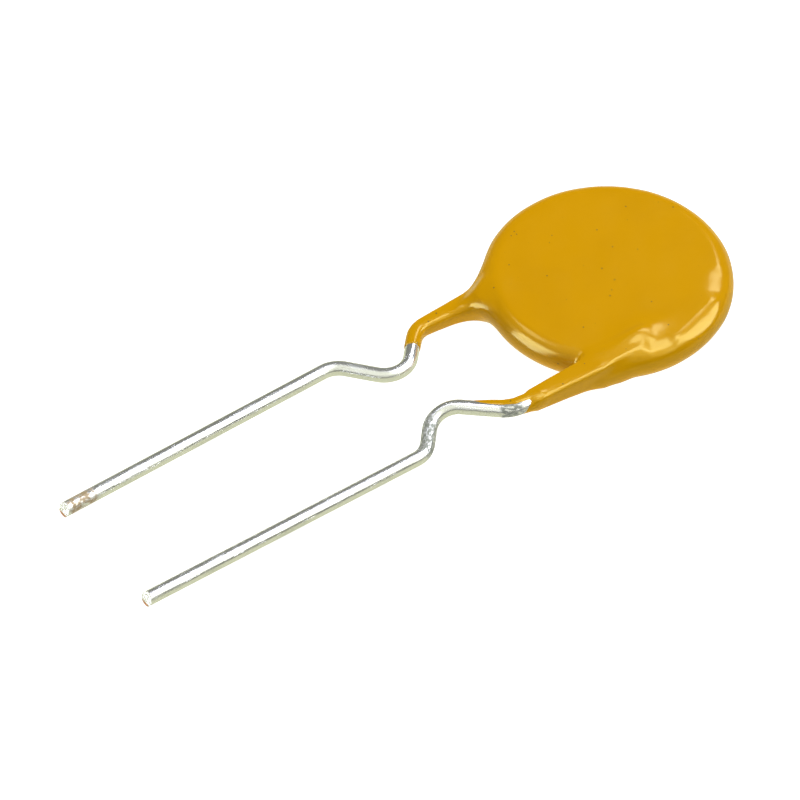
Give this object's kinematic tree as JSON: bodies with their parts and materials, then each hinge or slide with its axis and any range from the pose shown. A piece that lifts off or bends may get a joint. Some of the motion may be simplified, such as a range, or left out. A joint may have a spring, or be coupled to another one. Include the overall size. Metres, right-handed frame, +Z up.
{
  "type": "resettable fuse",
  "caption": "Thin round epoxy-dipped polymer fuse with kinked tinned wire leads from one side of its rim, to be soldered into a circuit board.",
  "frame": {"origin": "middle of the underside of the part's box, on the bench that the part lies on", "axes": "+X along the leads from their tips to the disc, +Y from the upper lead to the lower lead, +Z up from the bench, square to the disc"},
  "size_m": [0.0254, 0.0086, 0.0013],
  "materials": {
    "epoxy": "glossy dipped yellow-orange epoxy",
    "polymer": "black carbon-filled polymer",
    "foil": "matt nickel foil",
    "tinned_wire": "bright tin with drawn scratches",
    "solder": "satin solder"
  },
  "bodies": {
    "root": {"epoxy_coating": "epoxy", "polymer_chip": "polymer", "upper_foil": "foil", "lower_foil": "foil", "upper_lead": "tinned_wire", "lower_lead": "tinned_wire", "upper_solder": "solder", "lower_solder": "solder"}
  },
  "joints": []
}
